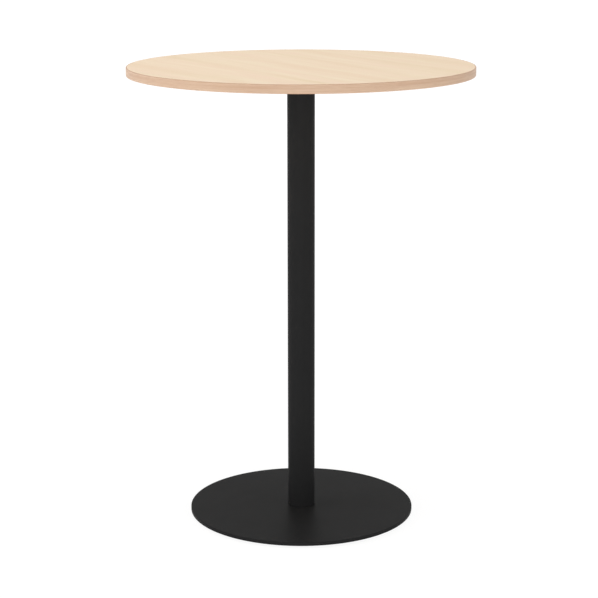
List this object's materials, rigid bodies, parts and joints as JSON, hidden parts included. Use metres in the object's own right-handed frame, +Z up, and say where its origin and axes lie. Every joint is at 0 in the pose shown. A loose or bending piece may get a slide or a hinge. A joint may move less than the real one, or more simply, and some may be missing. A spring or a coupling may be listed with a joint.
{
  "type": "high table",
  "caption": "Round wood-look table top on a slim black round column and a flat black disc base, clamped together by a hidden tie rod and levelled by screw glides.",
  "frame": {"origin": "on the floor, under the column's axis", "axes": "+Z up along the column's axis; +Y to the back, where the ends of the edge band meet; +X to the right"},
  "size_m": [0.75, 0.75, 1.005],
  "materials": {
    "decor_laminate": "satin",
    "edge_plastic": "satin",
    "chipboard": "matte",
    "black_powder_coat": "satin",
    "black_screw_steel": "satin",
    "zinc_plated_steel": "satin",
    "turned_steel": "satin",
    "glide_nylon": "matte"
  },
  "bodies": {
    "table": {"top_laminate": "decor_laminate", "top_core": "chipboard", "underside_laminate": "decor_laminate", "edge_band": "edge_plastic", "insert_nuts": "zinc_plated_steel", "mounting_screws": "black_screw_steel", "mounting_washers": "black_screw_steel", "mounting_plate": "black_powder_coat", "head_spigot": "turned_steel", "head_weld": "turned_steel", "tie_rod_washer": "zinc_plated_steel", "tie_rod_nut": "zinc_plated_steel", "tie_rod": "zinc_plated_steel", "column_tube": "black_powder_coat", "hub_lock_nut": "zinc_plated_steel", "base_hub": "turned_steel", "hub_screws": "black_screw_steel", "base_plate": "black_powder_coat"},
    "glide_1_pad": {"glide_1_pad": "glide_nylon"},
    "glide_1_stud": {"glide_1_stud": "zinc_plated_steel"},
    "glide_2_pad": {"glide_2_pad": "glide_nylon"},
    "glide_2_stud": {"glide_2_stud": "zinc_plated_steel"},
    "glide_3_pad": {"glide_3_pad": "glide_nylon"},
    "glide_3_stud": {"glide_3_stud": "zinc_plated_steel"},
    "glide_4_pad": {"glide_4_pad": "glide_nylon"},
    "glide_4_stud": {"glide_4_stud": "zinc_plated_steel"}
  },
  "joints": [
    {"name": "glide_1_lift", "type": "slide", "parent": "table", "child": "glide_1_pad", "axis": [0, 0, -1], "range_m": [0, 0.003]},
    {"name": "glide_1_turn", "type": "hinge", "parent": "glide_1_pad", "child": "glide_1_stud", "pos_m": [0.14849, 0.14849, 0.005], "axis": [0, 0, -1], "range_deg": [0, 864]},
    {"name": "glide_2_lift", "type": "slide", "parent": "table", "child": "glide_2_pad", "axis": [0, 0, -1], "range_m": [0, 0.003]},
    {"name": "glide_2_turn", "type": "hinge", "parent": "glide_2_pad", "child": "glide_2_stud", "pos_m": [-0.14849, 0.14849, 0.005], "axis": [0, 0, -1], "range_deg": [0, 864]},
    {"name": "glide_3_lift", "type": "slide", "parent": "table", "child": "glide_3_pad", "axis": [0, 0, -1], "range_m": [0, 0.003]},
    {"name": "glide_3_turn", "type": "hinge", "parent": "glide_3_pad", "child": "glide_3_stud", "pos_m": [-0.14849, -0.14849, 0.005], "axis": [0, 0, -1], "range_deg": [0, 864]},
    {"name": "glide_4_lift", "type": "slide", "parent": "table", "child": "glide_4_pad", "axis": [0, 0, -1], "range_m": [0, 0.003]},
    {"name": "glide_4_turn", "type": "hinge", "parent": "glide_4_pad", "child": "glide_4_stud", "pos_m": [0.14849, -0.14849, 0.005], "axis": [0, 0, -1], "range_deg": [0, 864]}
  ],
  "couplings": [
    {"joint": "glide_1_lift", "follows": "glide_1_turn", "m_per_rad": 0.00019894},
    {"joint": "glide_2_lift", "follows": "glide_2_turn", "m_per_rad": 0.00019894},
    {"joint": "glide_3_lift", "follows": "glide_3_turn", "m_per_rad": 0.00019894},
    {"joint": "glide_4_lift", "follows": "glide_4_turn", "m_per_rad": 0.00019894}
  ]
}
